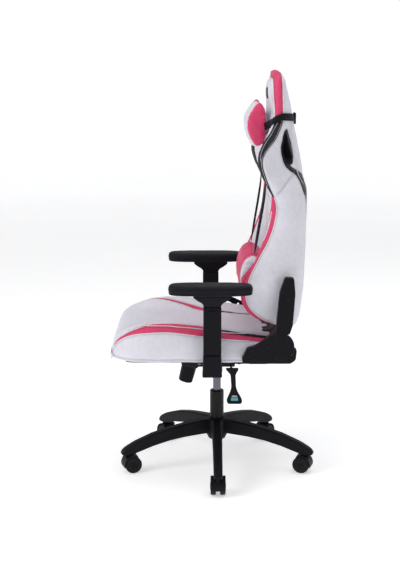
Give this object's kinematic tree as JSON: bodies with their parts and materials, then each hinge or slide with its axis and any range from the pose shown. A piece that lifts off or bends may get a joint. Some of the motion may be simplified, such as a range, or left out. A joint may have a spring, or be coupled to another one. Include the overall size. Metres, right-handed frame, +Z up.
{
  "type": "gaming chair",
  "caption": "High-backed swivel chair with bolstered seat, wing backrest, neck and lumbar pillows, adjustable armrests, gas lift and a five-leg caster base.",
  "frame": {"origin": "the middle of the chair's box in plan, on the floor", "axes": "+Z up, -Y towards the sitter's front, +X towards the sitter's left"},
  "size_m": [0.704, 0.6985, 1.381],
  "materials": {
    "white_leather": "smooth artificial leather, satin",
    "pink_leather": "smooth artificial leather, satin",
    "black_webbing": "woven elastic webbing",
    "black_plastic": "fine moulded texture, satin",
    "black_nylon": "glass-filled nylon, matt",
    "black_foam": "soft skinned foam, matt",
    "black_steel": "black powder coat",
    "bare_steel": "dark satin steel"
  },
  "bodies": {
    "base": {"star_base": "black_nylon", "column_tube": "black_steel", "caster_1_stem": "bare_steel", "caster_2_stem": "bare_steel", "caster_3_stem": "bare_steel", "caster_4_stem": "bare_steel", "caster_5_stem": "bare_steel"},
    "caster_1": {"caster_1_hood": "black_nylon"},
    "caster_1_wheel_pair": {"caster_1_wheels": "black_nylon"},
    "caster_2": {"caster_2_hood": "black_nylon"},
    "caster_2_wheel_pair": {"caster_2_wheels": "black_nylon"},
    "caster_3": {"caster_3_hood": "black_nylon"},
    "caster_3_wheel_pair": {"caster_3_wheels": "black_nylon"},
    "caster_4": {"caster_4_hood": "black_nylon"},
    "caster_4_wheel_pair": {"caster_4_wheels": "black_nylon"},
    "caster_5": {"caster_5_hood": "black_nylon"},
    "caster_5_wheel_pair": {"caster_5_wheels": "black_nylon"},
    "spindle": {"piston_rod": "bare_steel"},
    "mechanism": {"gas_cylinder": "bare_steel", "mechanism_housing": "black_steel", "tilt_pin": "bare_steel", "tilt_spring": "bare_steel"},
    "tension_knob": {"tension_knob": "black_plastic"},
    "height_lever": {"height_lever": "black_plastic"},
    "tilt_lock_lever": {"tilt_lock_lever": "black_plastic"},
    "recline_lever": {"recline_lever": "black_plastic"},
    "seat": {"seat_plate": "black_steel", "seat_pan": "black_steel", "seat_cushion": "white_leather", "arm_bracket_left": "black_steel", "arm_shoe_left": "black_plastic", "hinge_seat_bracket_left": "black_steel", "hinge_bolt_left": "bare_steel", "hinge_lower_cover_left": "black_plastic", "arm_bracket_right": "black_steel", "arm_shoe_right": "black_plastic", "hinge_seat_bracket_right": "black_steel", "hinge_bolt_right": "bare_steel", "hinge_lower_cover_right": "black_plastic"},
    "back": {"backrest": "white_leather", "head_pillow": "pink_leather", "head_strap": "black_webbing", "strap_buckle": "black_plastic", "lumbar_pillow": "pink_leather", "slot_bezel_left": "black_plastic", "lumbar_strap_left": "black_webbing", "hinge_back_bracket_left": "black_steel", "hinge_upper_cover_left": "black_plastic", "slot_bezel_right": "black_plastic", "lumbar_strap_right": "black_webbing", "hinge_back_bracket_right": "black_steel", "hinge_upper_cover_right": "black_plastic"},
    "arm_sleeve_left": {"arm_sleeve_left": "black_plastic"},
    "arm_button_left": {"arm_button_left": "black_plastic"},
    "arm_carriage_left": {"arm_carriage_left": "black_plastic"},
    "arm_pad_left": {"arm_pad_left": "black_foam"},
    "arm_sleeve_right": {"arm_sleeve_right": "black_plastic"},
    "arm_button_right": {"arm_button_right": "black_plastic"},
    "arm_carriage_right": {"arm_carriage_right": "black_plastic"},
    "arm_pad_right": {"arm_pad_right": "black_foam"}
  },
  "joints": [
    {"name": "caster_1_swivel", "type": "hinge", "parent": "base", "child": "caster_1", "pos_m": [0.333, 0.0112, 0.05], "axis": [0, 0, 1], "continuous": true},
    {"name": "caster_1_roll", "type": "hinge", "parent": "caster_1", "child": "caster_1_wheel_pair", "pos_m": [0.313, 0.0112, 0.03], "axis": [0, 1, 0], "continuous": true},
    {"name": "caster_2_swivel", "type": "hinge", "parent": "base", "child": "caster_2", "pos_m": [0.1029, 0.3279, 0.05], "axis": [0, 0, 1], "continuous": true},
    {"name": "caster_2_roll", "type": "hinge", "parent": "caster_2", "child": "caster_2_wheel_pair", "pos_m": [0.09672, 0.30888, 0.03], "axis": [-0.9511, 0.309, 0], "continuous": true},
    {"name": "caster_3_swivel", "type": "hinge", "parent": "base", "child": "caster_3", "pos_m": [-0.2694, 0.20693, 0.05], "axis": [0, 0, 1], "continuous": true},
    {"name": "caster_3_roll", "type": "hinge", "parent": "caster_3", "child": "caster_3_wheel_pair", "pos_m": [-0.25322, 0.19518, 0.03], "axis": [-0.5878, -0.809, 0], "continuous": true},
    {"name": "caster_4_swivel", "type": "hinge", "parent": "base", "child": "caster_4", "pos_m": [-0.2694, -0.18453, 0.05], "axis": [0, 0, 1], "continuous": true},
    {"name": "caster_4_roll", "type": "hinge", "parent": "caster_4", "child": "caster_4_wheel_pair", "pos_m": [-0.25322, -0.17278, 0.03], "axis": [0.5878, -0.809, 0], "continuous": true},
    {"name": "caster_5_swivel", "type": "hinge", "parent": "base", "child": "caster_5", "pos_m": [0.1029, -0.3055, 0.05], "axis": [0, 0, 1], "continuous": true},
    {"name": "caster_5_roll", "type": "hinge", "parent": "caster_5", "child": "caster_5_wheel_pair", "pos_m": [0.09672, -0.28648, 0.03], "axis": [0.9511, 0.309, 0], "continuous": true},
    {"name": "seat_swivel", "type": "hinge", "parent": "base", "child": "spindle", "pos_m": [0, 0.0112, 0.0935], "axis": [0, 0, 1], "continuous": true},
    {"name": "seat_lift", "type": "slide", "parent": "spindle", "child": "mechanism", "axis": [0, 0, 1], "range_m": [-0.055, 0.045]},
    {"name": "tension_knob_turn", "type": "hinge", "parent": "mechanism", "child": "tension_knob", "pos_m": [0, -0.0863, 0.36], "axis": [0, 0.2504, 0.9681], "continuous": true},
    {"name": "height_lever_pull", "type": "hinge", "parent": "mechanism", "child": "height_lever", "pos_m": [-0.029, -0.0038, 0.384], "axis": [0, 1, 0], "range_deg": [0, 5], "stiffness_Nm_per_rad": 3, "springref_deg": -5.73},
    {"name": "tilt_lock_turn", "type": "hinge", "parent": "mechanism", "child": "tilt_lock_lever", "pos_m": [0.185, 0.0592, 0.378], "axis": [-1, 0, 0], "range_deg": [0, 25]},
    {"name": "seat_tilt", "type": "hinge", "parent": "mechanism", "child": "seat", "pos_m": [0, -0.0488, 0.385], "axis": [-1, 0, 0], "range_deg": [0, 10], "stiffness_Nm_per_rad": 300, "springref_deg": -20.05},
    {"name": "recline", "type": "hinge", "parent": "seat", "child": "back", "pos_m": [0, 0.2162, 0.5], "axis": [-1, 0, 0], "range_deg": [0, 62]},
    {"name": "recline_lever_pull", "type": "hinge", "parent": "seat", "child": "recline_lever", "pos_m": [-0.29, 0.2162, 0.5], "axis": [-1, 0, 0], "range_deg": [0, 25], "stiffness_Nm_per_rad": 2, "springref_deg": -11.46},
    {"name": "arm_height_left", "type": "slide", "parent": "seat", "child": "arm_sleeve_left", "axis": [0, 0, 1], "range_m": [0, 0.07]},
    {"name": "arm_button_left", "type": "slide", "parent": "arm_sleeve_left", "child": "arm_button_left", "axis": [-1, 0, 0], "range_m": [0, 0.003], "stiffness_N_per_m": 800, "springref_m": -0.002},
    {"name": "arm_yaw_left", "type": "hinge", "parent": "arm_sleeve_left", "child": "arm_carriage_left", "pos_m": [0.298, -0.0088, 0.64], "axis": [0, 0, 1], "range_deg": [-15, 8]},
    {"name": "arm_depth_left", "type": "slide", "parent": "arm_carriage_left", "child": "arm_pad_left", "axis": [0, 1, 0], "range_m": [-0.025, 0.025]},
    {"name": "arm_height_right", "type": "slide", "parent": "seat", "child": "arm_sleeve_right", "axis": [0, 0, 1], "range_m": [0, 0.07]},
    {"name": "arm_button_right", "type": "slide", "parent": "arm_sleeve_right", "child": "arm_button_right", "axis": [1, 0, 0], "range_m": [0, 0.003], "stiffness_N_per_m": 800, "springref_m": -0.002},
    {"name": "arm_yaw_right", "type": "hinge", "parent": "arm_sleeve_right", "child": "arm_carriage_right", "pos_m": [-0.298, -0.0088, 0.64], "axis": [0, 0, -1], "range_deg": [-15, 8]},
    {"name": "arm_depth_right", "type": "slide", "parent": "arm_carriage_right", "child": "arm_pad_right", "axis": [0, 1, 0], "range_m": [-0.01, 0.04]}
  ]
}
